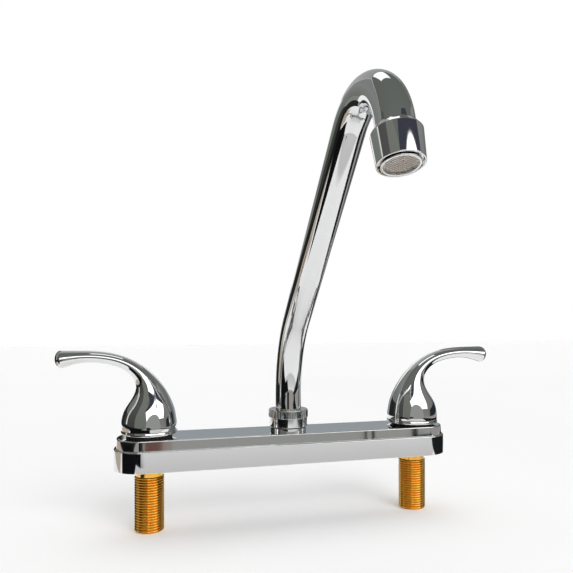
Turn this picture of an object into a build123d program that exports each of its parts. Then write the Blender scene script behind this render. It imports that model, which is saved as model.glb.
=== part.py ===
"""Two handle kitchen faucet on an 8 inch centre-set deck plate, as its separate pieces.

Frame: X along the deck plate (hot side is -X), -Y towards the user, +Z up.
The origin is the middle of the deck plate's underside, where it meets the worktop.
Every length is in millimetres and every angle in degrees.
"""

import os
from math import cos, pi, radians, sin, sqrt, tan

from build123d import *

# ---------------------------------------------------------------- clearances
RUN = 0.05            # radial room of a turning fit
THREAD = 0.05         # radial room between two screwed threads
SLIP = 0.10           # room between pieces that are only slipped together
SWING = 0.30          # room beside a piece that turns past another
DISC_GAP = 0.05       # water film between the two ceramic discs

# ------------------------------------------------- waterway under the plate
CENTRES = 203.2       # hot shank to cold shank, the 8 inch standard
SHANK_R = 10.4        # 1/2-14 straight pipe thread over its crests
SHANK_BELOW = 44.4    # how far the shanks stand out under the plate
SHANK_CHAMFER = 1.3
RELIEF_R = 9.5        # plain neck above the thread
RELIEF_LENGTH = 5.4
INLET_R = 6.5
SEAT_Z = 3.0          # where the cartridge's rubber seat rests
BARREL_FLOOR = 1.9    # underside of the valve barrels and of the spout hub
CROSS_R = 4.75        # cross tubes, 3/8 inch outside
CROSS_WALL = 0.8
SOCKET_DEPTH = 3.0    # how far a cross tube enters its casting

# -------------------------------------------------------- ceramic cartridges
CARTRIDGE_R = 10.15
CARTRIDGE_WALL = 1.75
SEAL_T = 2.0
SEAL_WIDTH = 1.6
DISC_T = 2.2
PORT_R_IN = 2.0       # the ports are quarter rings between these radii
PORT_R_OUT = 6.4
PORT_SPAN = 84.0      # degrees of each port
FOOT_T = 3.0          # driving bar at the foot of the stem
FOOT_WIDTH = 5.0
TANG_WIDTH = 2.6      # tang of the bar in the slot of the moving disc
TANG_DEPTH = 1.1
WINDOW_H = 4.4        # outlet windows in the cartridge's wall
WINDOW_W = 7.0
STEM_R = 4.8
SPLINE_R = 4.1        # over the teeth
SPLINE_DEPTH = 0.45
SPLINE_TEETH = 20
SPLINE_LENGTH = 8.8
FLANGE_T = 3.5
NECK_RISE = 11.3      # neck of the valve above the plate
NECK_WALL = 2.4
SHOULDER = 2.4        # step of the barrel that the plate rests on
RING_SECTION = 1.6    # thickness of the rubber rings
CLIP_T = 1.0
CLIP_WIDTH = 1.6
NUT_T = 4.4           # round lock nut that holds the plate down
NUT_WALL = 3.35       # from its thread out to the tips of its teeth
NUT_TEETH = 36
NUT_TOOTH_DEPTH = 0.6

# ---------------------------------------------------------------- deck plate
PLATE_END = 24.4      # plate past the axis of each valve
PLATE_SIDE_GAP = 1.3  # room between a valve barrel and the plate's inner wall
PLATE_WALL = 2.0
PLATE_ROOM = 3.3      # plate's underside over the cross tubes
TIER_RISE = 7.1       # upper tier over the lower one
TIER_STEP = 1.7       # how far the upper tier stands in
TIER_DRAFT = 3.0      # lean of the upper tier's sides, so that the shell leaves its mould
SKIRT_DRAFT = 0.5     # lean of the lower tier's sides
PLATE_CORNER = 1.2    # how much straight face is left at the middle of each end
EDGE_ROUND = 0.9
GASKET_T = 1.6

# --------------------------------------------------------------------- spout
TUBE_OD = 18.9
TUBE_WALL = 1.0
UPRIGHT = 26.6        # the tube is upright this far over the plate
LEAN_ANGLE = 44.7     # then it leans forward by this angle
LEAN_RADIUS = 78.6
LEAN_LENGTH = 147.4
HOOK_RADIUS = 34.4
HOOK_TURN = 118.0
END_LENGTH = 22.3     # from the hook's end to the outlet

# ----------------------------------------------- spout seat and coupling nut
SPIGOT_WALL = 2.2
SPIGOT_SINK = 16.0    # how deep the spigot enters the post
SPIGOT_IN_TUBE = 9.0
SPIGOT_HEAD = 2.6     # spigot above the post, which carries the split ring
POST_WALL = 2.3
POST_RISE = 11.3      # post above the plate
RING_T = 2.2
RING_WIDTH = 1.9      # how far the split ring stands out of the spigot
RING_GROOVE = 0.7     # its groove, under the tube's own radius
COUPLING_BASE_GAP = 3.0   # coupling nut above the plate
COUPLING_WALL = 2.1
COUPLING_SHOULDER = 2.0
COUPLING_PLAIN = 6.6      # plain band under the knurled one
COUPLING_PLAIN_STEP = 0.5 # how far the plain band stands in
KNURL_DEPTH = 0.28
KNURLS = 72
LOCK_RING_T = 2.4
LOCK_RING_WALL = 0.8
LOCK_RING_ROUND = 0.3

# ------------------------------------------------------------------- aerator
COLLAR_STEP = 2.8     # collar over the tube's radius, at its widest
COLLAR_TAPER = 0.9    # how much it has narrowed at its mouth
COLLAR_LIP = 0.65     # top edge of its chamfer over the tube's radius
COLLAR_LENGTH = 18.7
COLLAR_CHAMFER = 3.2
COLLAR_WALL = 0.85    # wall at the mouth
TUBE_IN_COLLAR = 7.4
AERATOR_GAP = 1.1     # dark gap between the aerator's nose and the collar
AERATOR_RIM = 0.7     # wall of the nose round the screen
AERATOR_LIP = 0.6     # lip in the nose that the screen rests on
AERATOR_NOSE = 2.6
AERATOR_LENGTH = 10.0
WASHER_T = 2.0
SCREEN_T = 0.5
SCREEN_PITCH = 2.6
SCREEN_WIRE = 0.8
INSERT_T = 3.0
INSERT_HOLES = 6

# ------------------------------------------------------------------- handles
HANDLE_GAP = 2.8      # handle rim above the plate
HANDLE_WALL = 2.3
HANDLE_NUT_ROOM = 1.1    # between the plate nut's teeth and the handle
HOT_SET = 0.0         # how far each lever is set round towards the user when shut
COLD_SET = 3.0
COLD_DROP = 0.9       # the cold handle is pushed this much further down its stem
SCREW_R = 2.5
SCREW_LENGTH = 7.0
SCREW_SOCKET_R = 1.45
LIP_OUT = 0.2         # rolled lip round the foot of the handle
# Sections that draw the skirt in: distance out, height over the rim, lean of the section
# from level, and how far its half thickness and half width lie inside the skirt's radius.
SHOULDER_SECTIONS = (
    (0.1, 9.5, 0, 0.5, 0.6),
    (-0.3, 16.0, 0, 2.1, 2.1),
    (-1.0, 23.5, 2, 5.8, 5.2),
)
# Sections of the lever above them: the same, but the half thickness and half width themselves.
LEVER_SECTIONS = (
    (-0.1, 31.0, 8, 9.7, 11.0),
    (5.0, 40.1, 31, 6.1, 8.2),
    (16.3, 48.9, 67, 4.4, 6.8),
    (32.5, 53.5, 84, 4.1, 6.9),
    (46.5, 54.0, 90, 4.4, 7.4),
    (58.6, 52.5, 94, 6.1, 8.6),
)
TIP_BULGE = 4.1       # rounded end past the last section

# ------------------------------------------------------- sizes that follow on
VALVE_X = CENTRES / 2
VALVE_BORE = CARTRIDGE_R + SLIP / 2
NECK_R = VALVE_BORE + NECK_WALL
BARREL_R = NECK_R + SHOULDER
NUT_R = NECK_R + THREAD + NUT_WALL

DISC_BORE = CARTRIDGE_R - CARTRIDGE_WALL
FIXED_Z = SEAT_Z + SEAL_T
MOVING_Z = FIXED_Z + DISC_T + DISC_GAP
FOOT_Z = MOVING_Z + DISC_T
CHAMBER_TOP = FOOT_Z + WINDOW_H + 0.6
CROSS_Z = FOOT_Z + WINDOW_H / 2

PLATE_UNDER = CROSS_Z + CROSS_R + PLATE_ROOM
PLATE_HEIGHT = PLATE_UNDER + PLATE_WALL
SKIRT_HEIGHT = PLATE_HEIGHT - TIER_RISE
NECK_TOP = PLATE_HEIGHT + NECK_RISE
FLANGE_TOP = NECK_TOP + FLANGE_T
CLIP_Z = FLANGE_TOP + SLIP
SPLINE_Z = CLIP_Z + CLIP_T + 0.6
STEM_TOP = SPLINE_Z + SPLINE_LENGTH

TUBE_R = TUBE_OD / 2
TUBE_BORE = TUBE_R - TUBE_WALL
SPIGOT_R = TUBE_R + 0.75
POST_BORE = SPIGOT_R + RUN
POST_R = POST_BORE + POST_WALL
HUB_R = POST_R + SHOULDER
POST_TOP = PLATE_HEIGHT + POST_RISE
RISE_Z = PLATE_HEIGHT + UPRIGHT
RING_Z = POST_TOP + SLIP
RING_R = SPIGOT_R + RING_WIDTH
RING_BORE = TUBE_R - RING_GROOVE
COUPLING_Z = PLATE_HEIGHT + COUPLING_BASE_GAP
COUPLING_SEAT = RING_Z + RING_T + SLIP
COUPLING_TOP = COUPLING_SEAT + COUPLING_SHOULDER
COUPLING_BORE = POST_R + THREAD
COUPLING_R = COUPLING_BORE + COUPLING_WALL
TUBE_FOOT = POST_TOP + SPIGOT_HEAD

UPPER_HALF = max(BARREL_R, HUB_R) + PLATE_SIDE_GAP + PLATE_WALL
LOWER_HALF = UPPER_HALF + TIER_STEP
PLATE_HALF_LENGTH = VALVE_X + PLATE_END
LOWER_CORNER = LOWER_HALF - PLATE_CORNER

RIM_Z = PLATE_HEIGHT + HANDLE_GAP
CAVITY_R = NUT_R + HANDLE_NUT_ROOM
HANDLE_R = CAVITY_R + HANDLE_WALL
HUB_Z = CLIP_Z + CLIP_T + SWING + COLD_DROP

# where along its own axis, counted up from the outlet, each outlet piece lies
COLLAR_R = TUBE_R + COLLAR_STEP
COLLAR_MOUTH_R = COLLAR_R - COLLAR_TAPER
THREAD_BORE = COLLAR_MOUTH_R - COLLAR_WALL
AERATOR_NOSE_R = THREAD_BORE - AERATOR_GAP
AERATOR_BORE = AERATOR_NOSE_R - AERATOR_RIM
WASHER_S = COLLAR_LENGTH - TUBE_IN_COLLAR - WASHER_T
AERATOR_TOP = WASHER_S
AERATOR_FOOT = WASHER_S - AERATOR_LENGTH
SCREEN_S = AERATOR_FOOT + 1.2
INSERT_S = AERATOR_FOOT + 4.5


# ------------------------------------------------------------------ helpers
def rod(radius, low, high, x=0.0, y=0.0):
    """Upright round bar from one height to another."""
    return Pos(x, y, (low + high) / 2) * Cylinder(radius, high - low)


def ring(outer, inner, low, high, x=0.0, y=0.0):
    """Upright round ring."""
    return rod(outer, low, high, x, y) - rod(inner, low - 1, high + 1, x, y)


def rubber_ring(mid_radius, section, height, x=0.0):
    """Square-cut rubber sealing ring round an upright axis."""
    half = section / 2
    return ring(mid_radius + half, mid_radius - half, height - half, height + half, x)


def hexagon(flat_radius, low, high, x=0.0):
    """Upright hexagon bar with its flats facing front and back."""
    outline = RegularPolygon(flat_radius / cos(pi / 6), 6, rotation=30)
    return Pos(x, 0, low) * extrude(outline, high - low)


def side_bar(radius, x_from, x_to, height):
    """Round bar lying along X."""
    middle = (x_from + x_to) / 2
    return Pos(middle, 0, height) * Rot(0, 90, 0) * Cylinder(radius, abs(x_to - x_from))


def quarter_port(span, r_in, r_out, low, high):
    """Pair of opposite quarter-ring ports round the Z axis."""
    half = radians(span / 2)
    far = r_out * 3
    wedge = make_face(Polyline((0, 0), (far * cos(half), far * sin(half)),
                               (far * cos(half), -far * sin(half)), close=True))
    band = Circle(r_out) - Circle(r_in)
    shape = (band & wedge) + (band & (Rot(0, 0, 180) * wedge))
    return Pos(0, 0, low) * extrude(shape, high - low)


def spline_outline(grow=0.0):
    """Toothed outline of the stem's head; the handle's broach is the same, grown."""
    points = []
    for tooth in range(SPLINE_TEETH):
        for part, radius in ((0, SPLINE_R), (0.5, SPLINE_R - SPLINE_DEPTH)):
            angle = 2 * pi * (tooth + part) / SPLINE_TEETH
            points.append(((radius + grow) * cos(angle), (radius + grow) * sin(angle)))
    return make_face(Polyline(*points, close=True))


def notches(radius, depth, count, low, high, half_angle=50):
    """Upright V grooves at equal steps round a bar of this radius."""
    mouth = radius + 0.1
    half = (mouth - radius + depth) * tan(radians(half_angle))
    groove = make_face(Polyline((radius - depth, 0), (mouth, half), (mouth, -half), close=True))
    groove = Pos(0, 0, low) * extrude(groove, high - low)
    return [Rot(0, 0, 360 * index / count) * groove for index in range(count)]


def write(name, shape):
    """Write one named piece."""
    export_step(shape, f"parts/{name}.step")


# --------------------------------------------------------------- deck plate
def plate_outline(inset):
    """Plate outline with near-round ends, inset from the lower tier's outline."""
    return RectangleRounded(2 * (PLATE_HALF_LENGTH - inset), 2 * (LOWER_HALF - inset),
                            LOWER_CORNER - inset)


def deck_plate():
    """Two-tier chromed shell, open underneath, with three holes in its top."""
    lower = extrude(plate_outline(0), SKIRT_HEIGHT, taper=SKIRT_DRAFT)
    tier_foot = SKIRT_HEIGHT - PLATE_WALL
    upper = extrude(plate_outline(TIER_STEP), PLATE_HEIGHT - tier_foot, taper=TIER_DRAFT)
    lower = fillet(lower.edges().group_by(Axis.Z)[-1], EDGE_ROUND)
    upper = fillet(upper.edges().group_by(Axis.Z)[-1], EDGE_ROUND)
    shell = lower + Pos(0, 0, tier_foot) * upper
    shell -= extrude(plate_outline(PLATE_WALL), SKIRT_HEIGHT - PLATE_WALL)
    shell -= extrude(plate_outline(TIER_STEP + PLATE_WALL), PLATE_UNDER)
    for x in (-VALVE_X, VALVE_X):
        shell -= rod(NECK_R + SLIP, PLATE_UNDER - 1, PLATE_HEIGHT + 1, x)
    return shell - rod(POST_R + SLIP, PLATE_UNDER - 1, PLATE_HEIGHT + 1)


def base_gasket():
    """Soft sheet that closes the plate's underside, holed for the shanks."""
    sheet = extrude(plate_outline(PLATE_WALL + SLIP), GASKET_T)
    for x in (-VALVE_X, VALVE_X):
        sheet -= rod(SHANK_R + SLIP, -1, GASKET_T + 1, x)
    return sheet


# ----------------------------------------------------------------- waterway
def valve_body(x):
    """Brass casting: threaded shank, barrel under the plate and neck through it."""
    inward = -1 if x > 0 else 1
    shank = rod(SHANK_R, -SHANK_BELOW, -RELIEF_LENGTH, x)
    shank = chamfer(shank.edges().group_by(Axis.Z)[0], SHANK_CHAMFER)
    body = shank + rod(RELIEF_R, -RELIEF_LENGTH, BARREL_FLOOR, x)
    body += rod(BARREL_R, BARREL_FLOOR, PLATE_UNDER, x)
    body += rod(NECK_R, PLATE_UNDER, NECK_TOP, x)
    body -= rod(INLET_R, -SHANK_BELOW - 1, SEAT_Z + 1, x)
    body -= rod(VALVE_BORE, SEAT_Z, NECK_TOP + 1, x)
    mouth = x + inward * (BARREL_R + 1)
    body -= side_bar(CROSS_R - CROSS_WALL, x, mouth, CROSS_Z)
    return body - side_bar(CROSS_R + SLIP / 2, x + inward * (BARREL_R - SOCKET_DEPTH), mouth, CROSS_Z)


def spout_post():
    """Brass hub between the cross tubes, with the threaded post that carries the spout."""
    body = rod(HUB_R, BARREL_FLOOR, PLATE_UNDER) + rod(POST_R, PLATE_UNDER, POST_TOP)
    body -= rod(POST_BORE, BARREL_FLOOR + PLATE_WALL, POST_TOP + 1)
    body -= side_bar(CROSS_R - CROSS_WALL, -HUB_R - 1, HUB_R + 1, CROSS_Z)
    for side in (-1, 1):
        body -= side_bar(CROSS_R + SLIP / 2, side * (HUB_R - SOCKET_DEPTH), side * (HUB_R + 1), CROSS_Z)
    return body


def cross_tube(x):
    """Copper tube from a valve to the hub, brazed in at both ends."""
    side = 1 if x > 0 else -1
    from_x = side * (HUB_R - SOCKET_DEPTH)
    to_x = x - side * (BARREL_R - SOCKET_DEPTH)
    bore = side_bar(CROSS_R - CROSS_WALL, from_x - side, to_x + side, CROSS_Z)
    return side_bar(CROSS_R, from_x, to_x, CROSS_Z) - bore


def plate_nut(x):
    """Round lock nut on the valve's neck, toothed for the fingers, which holds the plate down."""
    nut = ring(NUT_R, NECK_R + THREAD, PLATE_HEIGHT, PLATE_HEIGHT + NUT_T)
    nut -= notches(NUT_R, NUT_TOOTH_DEPTH, NUT_TEETH, PLATE_HEIGHT - 1, PLATE_HEIGHT + NUT_T + 1)
    return Pos(x, 0, 0) * nut


def post_lock_ring():
    """Thin polished ring nut that holds the plate down round the spout's post."""
    body = rod(COUPLING_BORE + LOCK_RING_WALL, PLATE_HEIGHT, PLATE_HEIGHT + LOCK_RING_T)
    body = fillet(body.edges().group_by(Axis.Z)[-1], LOCK_RING_ROUND)
    return body - rod(COUPLING_BORE, PLATE_HEIGHT - 1, PLATE_HEIGHT + LOCK_RING_T + 1)


# --------------------------------------------------------------- cartridges
def cartridge_body(x):
    """Brass shell of the quarter-turn cartridge, with its hexagon flange and windows."""
    groove_z = NECK_TOP - 2.5 * RING_SECTION
    body = rod(CARTRIDGE_R, SEAT_Z + 0.6, NECK_TOP, x) + hexagon(NECK_R - 1.2, NECK_TOP, FLANGE_TOP, x)
    body -= rod(DISC_BORE, SEAT_Z, CHAMBER_TOP, x)
    body -= rod(STEM_R + RUN, CHAMBER_TOP - 1, FLANGE_TOP + 1, x)
    body -= ring(CARTRIDGE_R + 1, CARTRIDGE_R - RING_SECTION, groove_z, groove_z + 1.2 * RING_SECTION, x)
    window = Box(4 * CARTRIDGE_R, WINDOW_W, WINDOW_H)
    return body - Pos(x, 0, CROSS_Z) * window


def cartridge_seal(x):
    """Rubber ring between the cartridge and the seat in the valve."""
    return ring(DISC_BORE - SLIP, DISC_BORE - SLIP - SEAL_WIDTH, SEAT_Z, FIXED_Z, x)


def cartridge_ring(x):
    """Rubber ring in the groove round the cartridge's neck."""
    height = NECK_TOP - 1.9 * RING_SECTION
    section = RING_SECTION - SLIP
    return rubber_ring(VALVE_BORE - section / 2 - SLIP / 2, section, height, x)


def fixed_disc(x):
    """Ceramic disc that stands still, with a quarter port on each side."""
    disc = rod(DISC_BORE - SLIP, FIXED_Z, FIXED_Z + DISC_T)
    disc -= quarter_port(PORT_SPAN, PORT_R_IN, PORT_R_OUT, FIXED_Z - 1, FIXED_Z + DISC_T + 1)
    return Pos(x, 0, 0) * disc


def moving_disc(x, set_angle):
    """Ceramic disc that the stem turns; shut, its ports stand across the fixed ones."""
    disc = rod(DISC_BORE - SLIP, MOVING_Z, FOOT_Z)
    ports = quarter_port(PORT_SPAN, PORT_R_IN, PORT_R_OUT, MOVING_Z - 1, FOOT_Z + 1)
    slot = Pos(0, 0, FOOT_Z) * Box(3 * DISC_BORE, TANG_WIDTH + 2 * SLIP, 2 * (TANG_DEPTH + SLIP))
    disc -= Rot(0, 0, 90) * ports
    return Pos(x, 0, 0) * Rot(0, 0, set_angle) * (disc - slot)


def stem(x, set_angle):
    """Brass spindle: driving bar, sealed shaft and toothed head."""
    shaft = rod(STEM_R, FOOT_Z + FOOT_T, CLIP_Z) + rod(STEM_R - 0.8, CLIP_Z, CLIP_Z + CLIP_T)
    shaft += rod(SPLINE_R - SPLINE_DEPTH, CLIP_Z + CLIP_T, STEM_TOP)
    foot = rod(DISC_BORE - SWING, FOOT_Z, FOOT_Z + FOOT_T) & (
        Pos(0, 0, FOOT_Z + FOOT_T / 2) * Box(3 * DISC_BORE, FOOT_WIDTH, FOOT_T))
    tang = rod(DISC_BORE - SWING, FOOT_Z - TANG_DEPTH, FOOT_Z) & (
        Pos(0, 0, FOOT_Z - TANG_DEPTH / 2) * Box(3 * DISC_BORE, TANG_WIDTH, TANG_DEPTH))
    shaft += foot + tang + Pos(0, 0, SPLINE_Z) * extrude(spline_outline(), SPLINE_LENGTH)
    for height in stem_ring_heights():
        shaft -= ring(STEM_R + 1, STEM_R - RING_SECTION, height - 0.6 * RING_SECTION,
                      height + 0.6 * RING_SECTION)
    return Pos(x, 0, 0) * Rot(0, 0, set_angle) * shaft


def stem_ring_heights():
    """Heights of the two rubber rings on the stem."""
    return (CHAMBER_TOP + 3 * RING_SECTION, CHAMBER_TOP + 6 * RING_SECTION)


def stem_rings(x):
    """Pair of rubber rings on the stem."""
    section = RING_SECTION - SLIP
    return Compound([rubber_ring(STEM_R - section / 2 - SLIP / 2, section, height, x)
                     for height in stem_ring_heights()])


def stem_clip(x, set_angle):
    """Open spring clip that keeps the stem in the cartridge."""
    clip = ring(STEM_R - 0.8 + SLIP / 2 + CLIP_WIDTH, STEM_R - 0.8 + SLIP / 2, CLIP_Z, CLIP_Z + CLIP_T)
    clip -= Pos(0, STEM_R, CLIP_Z + CLIP_T / 2) * Box(STEM_R, 2 * STEM_R, 2 * CLIP_T)
    return Pos(x, 0, 0) * Rot(0, 0, set_angle) * clip


# ------------------------------------------------------------------ handles
def lever_section(out, over, lean, thick, wide):
    """Oval section square to the lever's line at one place."""
    lean = radians(lean)
    plane = Plane(origin=(out, 0, RIM_Z + over), x_dir=(cos(lean), 0, -sin(lean)),
                  z_dir=(sin(lean), 0, cos(lean)))
    return plane * Ellipse(thick, wide)


def handle_form():
    """Solid outside of the handle: round skirt drawn up into a swan-neck lever along +X."""
    skirt = [(0.0, 0.0, 0, HANDLE_R + LIP_OUT, HANDLE_R + LIP_OUT),
             (0.0, 1.0, 0, HANDLE_R + LIP_OUT, HANDLE_R + LIP_OUT),
             (0.0, 2.4, 0, HANDLE_R - LIP_OUT, HANDLE_R - LIP_OUT),
             (0.0, 5.0, 0, HANDLE_R - LIP_OUT / 2, HANDLE_R - LIP_OUT / 2)]
    shoulder = [(out, over, lean, HANDLE_R - thick_in, HANDLE_R - wide_in)
                for out, over, lean, thick_in, wide_in in SHOULDER_SECTIONS]
    last = LEVER_SECTIONS[-1]
    lean = radians(last[2])
    tip = []
    for part in (0.45, 0.8, 0.97):
        shrink = sqrt(1 - part ** 2)
        step = part * TIP_BULGE
        tip.append((last[0] + step * sin(lean), last[1] + step * cos(lean), last[2],
                    last[3] * shrink, last[4] * shrink))
    foot = loft([lever_section(*row) for row in skirt[:2]], ruled=True)
    lip = loft([lever_section(*row) for row in skirt[1:3]], ruled=True)
    sweep_up = loft([lever_section(*row) for row in skirt[2:] + shoulder + list(LEVER_SECTIONS)])
    end = loft([lever_section(*row) for row in [last] + tip], ruled=True)
    return foot + lip + sweep_up + end


def handle(x, turn, screw_side, drop):
    """Cast lever handle: hollow skirt, toothed socket for the stem and a set screw hole."""
    form = handle_form()
    cavity_mid = HUB_Z - 5.0
    outline = make_face(Polyline((0, RIM_Z - 1), (CAVITY_R, RIM_Z - 1), (CAVITY_R, RIM_Z + NUT_T),
                                 (CAVITY_R - 1.6, cavity_mid), (CAVITY_R - 4.2, HUB_Z), (0, HUB_Z),
                                 close=True))
    form -= revolve(Plane.XZ * outline, Axis.Z)
    socket_depth = STEM_TOP + SLIP + COLD_DROP - HUB_Z
    form -= Pos(0, 0, HUB_Z - 1) * extrude(spline_outline(RUN), socket_depth + 1)
    hole = Rot(-90 * screw_side, 0, 0) * Pos(0, 0, HANDLE_R / 2) * Cylinder(SCREW_R + THREAD, HANDLE_R)
    form -= Pos(0, 0, screw_height()) * hole
    return Pos(x, 0, -drop) * Rot(0, 0, turn) * form


def screw_height():
    """Height of the set screw, half way up the toothed head."""
    return SPLINE_Z + SPLINE_LENGTH / 2


def handle_screw(x, turn, screw_side, drop):
    """Set screw with a hexagon socket, in the back of the handle."""
    start = SPLINE_R + 2 * SLIP
    body = Pos(0, 0, start + SCREW_LENGTH / 2) * Cylinder(SCREW_R, SCREW_LENGTH)
    body -= Pos(0, 0, start + SCREW_LENGTH - 2.5) * extrude(RegularPolygon(SCREW_SOCKET_R, 6), 3)
    body = Pos(0, 0, screw_height()) * (Rot(-90 * screw_side, 0, 0) * body)
    return Pos(x, 0, -drop) * Rot(0, 0, turn) * body


# -------------------------------------------------------------------- spout
def spout_point(along, height):
    """Point in the spout's upright plane, which faces the user."""
    return Vector(0, -along, height)


def spout_path():
    """Centre line of the tube: upright, leaning, hook and short end; with its last point."""
    lean = radians(LEAN_ANGLE)
    full = radians(LEAN_ANGLE + HOOK_TURN)

    def bend(along, height, radius, start, stop):
        """Point on a bend that turns forward, at the angle stop."""
        return (along + radius * (cos(start) - cos(stop)), height + radius * (sin(stop) - sin(start)))

    a = (0.0, RISE_Z)
    b = bend(*a, LEAN_RADIUS, 0, lean)
    c = (b[0] + LEAN_LENGTH * sin(lean), b[1] + LEAN_LENGTH * cos(lean))
    d = bend(*c, HOOK_RADIUS, lean, full)
    e = (d[0] + END_LENGTH * sin(full), d[1] + END_LENGTH * cos(full))
    stop = END_LENGTH - (COLLAR_LENGTH - TUBE_IN_COLLAR)
    tube_end = (d[0] + stop * sin(full), d[1] + stop * cos(full))
    line = Polyline(spout_point(0, TUBE_FOOT), spout_point(*a))
    line += ThreePointArc(spout_point(*a), spout_point(*bend(*a, LEAN_RADIUS, 0, lean / 2)), spout_point(*b))
    line += Line(spout_point(*b), spout_point(*c))
    middle = bend(*c, HOOK_RADIUS, lean, (lean + full) / 2)
    line += ThreePointArc(spout_point(*c), spout_point(*middle), spout_point(*d))
    line += Line(spout_point(*d), spout_point(*tube_end))
    return line, e, full


def spout_tube():
    """Bent chromed tube, open at both ends."""
    path, _, _ = spout_path()
    section = Pos(0, 0, TUBE_FOOT) * (Circle(TUBE_R) - Circle(TUBE_BORE))
    return sweep(section, path)


def at_outlet(shape):
    """Set a shape, made upright over the origin, onto the outlet with its axis up the spout."""
    _, outlet, full = spout_path()
    place = Plane(origin=spout_point(*outlet), x_dir=(1, 0, 0), z_dir=(0, sin(full), -cos(full)))
    return place * shape


def outlet_collar():
    """Thick brass end of the spout, tapered to its mouth, bored and threaded for the aerator."""
    sleeve = COLLAR_LENGTH - COLLAR_CHAMFER
    body = Pos(0, 0, sleeve / 2) * Cone(COLLAR_MOUTH_R, COLLAR_R, sleeve)
    slope = Cone(COLLAR_R, TUBE_R + COLLAR_LIP, COLLAR_CHAMFER)
    body += Pos(0, 0, sleeve + COLLAR_CHAMFER / 2) * slope
    body -= rod(TUBE_R + RUN, WASHER_S, COLLAR_LENGTH + 1)
    return at_outlet(body - rod(THREAD_BORE, -1, WASHER_S + WASHER_T))


def aerator_washer():
    """Rubber washer between the aerator and the end of the tube."""
    return at_outlet(ring(THREAD_BORE - SLIP, TUBE_BORE, WASHER_S, WASHER_S + WASHER_T))


def aerator_body():
    """Chromed threaded ring that holds the aerator's inside."""
    body = rod(THREAD_BORE - THREAD, AERATOR_FOOT + AERATOR_NOSE, AERATOR_TOP)
    body += rod(AERATOR_NOSE_R, AERATOR_FOOT, AERATOR_FOOT + AERATOR_NOSE)
    body -= rod(AERATOR_BORE, SCREEN_S, AERATOR_TOP + 1)
    return at_outlet(body - rod(AERATOR_BORE - AERATOR_LIP, AERATOR_FOOT - 1, SCREEN_S + 1))


def aerator_screen():
    """Steel screen across the outlet, resting on the ring's inner lip."""
    screen = Circle(AERATOR_BORE - SLIP)
    reach = int(AERATOR_BORE / SCREEN_PITCH)
    for column in range(-reach, reach + 1):
        for row in range(-reach, reach + 1):
            x, y = column * SCREEN_PITCH, row * SCREEN_PITCH
            if sqrt(x * x + y * y) + SCREEN_PITCH < AERATOR_BORE:
                screen -= Pos(x, y) * Rectangle(SCREEN_PITCH - SCREEN_WIRE, SCREEN_PITCH - SCREEN_WIRE)
    return at_outlet(Pos(0, 0, SCREEN_S) * extrude(screen, SCREEN_T))


def aerator_insert():
    """Plastic jet disc inside the aerator, standing on a skirt over the screen."""
    body = rod(AERATOR_BORE - SLIP, SCREEN_S + SCREEN_T, INSERT_S + INSERT_T)
    body -= rod(AERATOR_BORE - 1.4, SCREEN_S, INSERT_S)
    for index in range(INSERT_HOLES):
        angle = 2 * pi * index / INSERT_HOLES
        body -= rod(0.7, INSERT_S - 1, INSERT_S + INSERT_T + 1, 4.6 * cos(angle), 4.6 * sin(angle))
    return at_outlet(body)


def spout_spigot():
    """Brass spigot brazed into the tube's foot; it turns in the post."""
    foot = POST_TOP - SPIGOT_SINK
    body = rod(SPIGOT_R, foot, RING_Z - SLIP / 2) + rod(RING_BORE - SLIP / 2, RING_Z - SLIP, COUPLING_SEAT)
    body += rod(TUBE_R, RING_Z + RING_T + SLIP / 2, TUBE_FOOT)
    body += rod(TUBE_BORE - RUN, TUBE_FOOT, TUBE_FOOT + SPIGOT_IN_TUBE)
    body -= rod(TUBE_BORE - SPIGOT_WALL, foot - 1, TUBE_FOOT + SPIGOT_IN_TUBE + 1)
    for height in spigot_ring_heights():
        body -= ring(SPIGOT_R + 1, SPIGOT_R - RING_SECTION, height - 0.6 * RING_SECTION,
                     height + 0.6 * RING_SECTION)
    return body


def spigot_ring_heights():
    """Heights of the two rubber rings on the spigot."""
    return (POST_TOP - SPIGOT_SINK + 3.0, POST_TOP - SPIGOT_SINK + 8.5)


def spout_rings():
    """Pair of rubber rings that seal the spigot in the post."""
    section = RING_SECTION - SLIP
    return Compound([rubber_ring(SPIGOT_R - section / 2 - SLIP / 2, section, height)
                     for height in spigot_ring_heights()])


def split_ring():
    """Split ring in the spigot's groove, trapped under the coupling nut."""
    body = ring(RING_R, RING_BORE, RING_Z, RING_Z + RING_T)
    return body - Pos(0, RING_R, RING_Z + RING_T / 2) * Box(2.0, RING_R, 2 * RING_T)


def coupling_nut():
    """Round nut that traps the spout on its post: plain band below, knurled band above."""
    knurl_z = COUPLING_Z + COUPLING_PLAIN
    plain = rod(COUPLING_R - COUPLING_PLAIN_STEP, COUPLING_Z, knurl_z)
    plain = chamfer(plain.edges().group_by(Axis.Z)[0], 0.4)
    body = rod(COUPLING_R, knurl_z, COUPLING_TOP)
    body = plain + chamfer(body.edges().group_by(Axis.Z)[-1], 0.4)
    body -= rod(COUPLING_BORE, COUPLING_Z - 1, COUPLING_SEAT)
    body -= rod(TUBE_R + SWING, COUPLING_SEAT - 1, COUPLING_TOP + 1)
    return body - notches(COUPLING_R, KNURL_DEPTH, KNURLS, knurl_z - 0.1, COUPLING_TOP - 0.8)


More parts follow.
